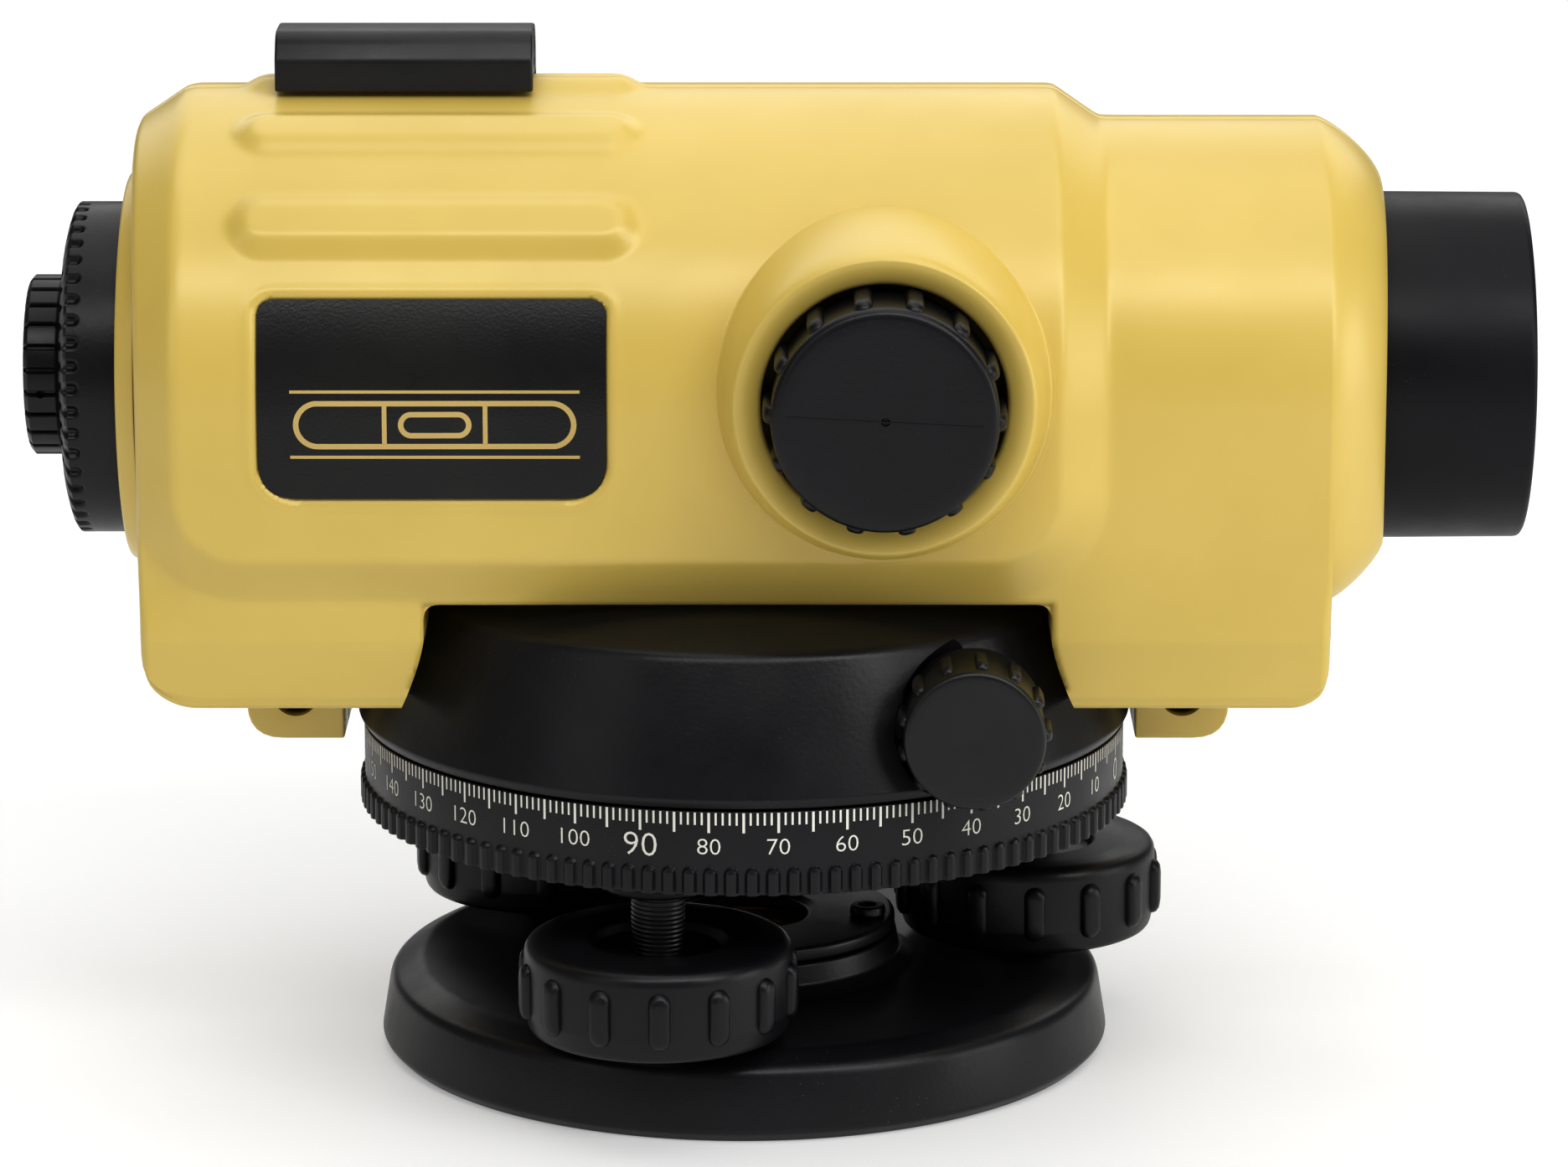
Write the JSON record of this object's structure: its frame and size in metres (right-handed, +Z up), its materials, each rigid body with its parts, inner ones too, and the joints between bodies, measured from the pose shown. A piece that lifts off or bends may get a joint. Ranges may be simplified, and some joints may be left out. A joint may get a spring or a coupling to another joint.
{
  "type": "automatic level",
  "caption": "Automatic optical level: yellow telescope housing on a black rotating base, graduated circle, levelling foot screws and a round base plate.",
  "frame": {"origin": "on the vertical rotation axis, at the underside of the base plate, where the tripod screw enters", "axes": "+Z up along the rotation axis; +X along the line of sight toward the objective; -Y is the side with the focusing knob"},
  "size_m": [0.1935, 0.1151, 0.1351],
  "materials": {
    "yellow_plastic": "warm yellow moulded plastic, satin sheen",
    "black_plastic": "black moulded plastic, fine satin grain",
    "circle_plastic": "black plastic ring with white graduations",
    "dark_metal": "black painted metal",
    "label": "dark plain nameplate",
    "steel": "turned steel",
    "brass": "machined brass",
    "aluminium": "cast and machined aluminium",
    "optical_glass": "coated optical glass",
    "mirror": "front-silvered mirror"
  },
  "bodies": {
    "base": {"base_plate": "black_plastic", "tripod_thread_insert": "brass", "clamp_plate": "dark_metal", "plate_screw_1": "steel", "plate_screw_2": "steel", "plate_screw_3": "steel", "ball_retainer_1": "steel", "ball_retainer_2": "steel", "ball_retainer_3": "steel"},
    "front_foot_screw": {"foot_knob_1": "black_plastic", "foot_stud_1": "steel"},
    "tribrach": {"tribrach_body": "dark_metal", "foot_bush_1": "brass", "foot_bush_2": "brass", "foot_bush_3": "brass", "spindle": "steel"},
    "right_foot_screw": {"foot_knob_2": "black_plastic", "foot_stud_2": "steel"},
    "rear_foot_screw": {"foot_knob_3": "black_plastic", "foot_stud_3": "steel"},
    "circle": {"horizontal_circle": "circle_plastic"},
    "slip_wheel": {"worm_wheel": "brass"},
    "alidade": {"base_housing": "black_plastic", "axis_sleeve": "brass", "shell_near": "yellow_plastic", "shell_far": "yellow_plastic", "label_plate": "label", "lug_screw_1": "steel", "lug_screw_2": "steel", "peep_sight": "black_plastic", "chassis": "aluminium", "objective_barrel": "black_plastic", "objective_lens": "optical_glass", "objective_retainer": "dark_metal", "reticle_cell": "brass", "reticle_glass": "optical_glass", "eyepiece_tube": "brass", "eyepiece_cover": "black_plastic", "compensator_frame": "aluminium", "damping_magnet": "dark_metal", "vial_holder": "black_plastic", "vial_glass": "optical_glass"},
    "fine_drive": {"worm_shaft": "steel", "fine_knob_near": "black_plastic", "fine_knob_far": "black_plastic"},
    "focus_drive": {"focus_knob": "black_plastic", "focus_shaft": "steel"},
    "focus_carriage": {"focus_cell": "aluminium", "focus_lens": "optical_glass"},
    "dioptre": {"dioptre_ring": "black_plastic", "eyepiece_lens": "optical_glass"},
    "compensator_pendulum": {"pendulum": "brass", "pendulum_prism": "optical_glass"},
    "vial_mirror_flap": {"mirror_flap": "black_plastic", "vial_mirror": "mirror"}
  },
  "joints": [
    {"name": "level_tilt", "type": "hinge", "parent": "base", "child": "tribrach", "pos_m": [0.00535, 0.01879, 0.0095], "axis": [-0.9617, 0.274, 0], "range_deg": [-1.5, 1.5]},
    {"name": "front_foot_screw_turn", "type": "hinge", "parent": "base", "child": "front_foot_screw", "pos_m": [-0.0107, -0.03757, 0.0095], "axis": [0, 0, 1], "range_deg": [-560, 560]},
    {"name": "right_foot_screw_turn", "type": "hinge", "parent": "tribrach", "child": "right_foot_screw", "pos_m": [0.03789, 0.00952, 0.0095], "axis": [0, 0, 1], "range_deg": [-560, 560]},
    {"name": "rear_foot_screw_turn", "type": "hinge", "parent": "tribrach", "child": "rear_foot_screw", "pos_m": [-0.02719, 0.02806, 0.0095], "axis": [0, 0, 1], "range_deg": [-560, 560]},
    {"name": "circle_turn", "type": "hinge", "parent": "tribrach", "child": "circle", "pos_m": [0, 0, 0.038], "axis": [0, 0, 1], "continuous": true},
    {"name": "coarse_turn", "type": "hinge", "parent": "tribrach", "child": "slip_wheel", "pos_m": [0, 0, 0.054], "axis": [0, 0, 1], "continuous": true},
    {"name": "fine_turn", "type": "hinge", "parent": "slip_wheel", "child": "alidade", "pos_m": [0, 0, 0.06], "axis": [0, 0, 1], "continuous": true},
    {"name": "fine_knob_turn", "type": "hinge", "parent": "alidade", "child": "fine_drive", "pos_m": [0.029, 0, 0.0532], "axis": [0, 1, 0], "continuous": true},
    {"name": "focus_knob_turn", "type": "hinge", "parent": "alidade", "child": "focus_drive", "pos_m": [0.0177, -0.044, 0.0943], "axis": [0, 1, 0], "range_deg": [-140, 140]},
    {"name": "focus_lens_travel", "type": "slide", "parent": "alidade", "child": "focus_carriage", "axis": [1, 0, 0], "range_m": [-0.00806, 0.00806]},
    {"name": "dioptre_turn", "type": "hinge", "parent": "alidade", "child": "dioptre", "pos_m": [-0.089, 0, 0.0907], "axis": [1, 0, 0], "range_deg": [-170, 170]},
    {"name": "compensator_swing", "type": "hinge", "parent": "alidade", "child": "compensator_pendulum", "pos_m": [-0.028, 0, 0.101], "axis": [0, 1, 0], "range_deg": [-1.5, 1.5]},
    {"name": "vial_mirror_fold", "type": "hinge", "parent": "alidade", "child": "vial_mirror_flap", "pos_m": [-0.0176, 0.05, 0.085], "axis": [0, 1, 0], "range_deg": [-42, 25]}
  ],
  "couplings": [
    {"joint": "front_foot_screw_turn", "follows": "level_tilt", "ratio": -368.2},
    {"joint": "fine_knob_turn", "follows": "fine_turn", "ratio": 70},
    {"joint": "focus_knob_turn", "follows": "focus_lens_travel", "rad_per_m": -303.03}
  ]
}
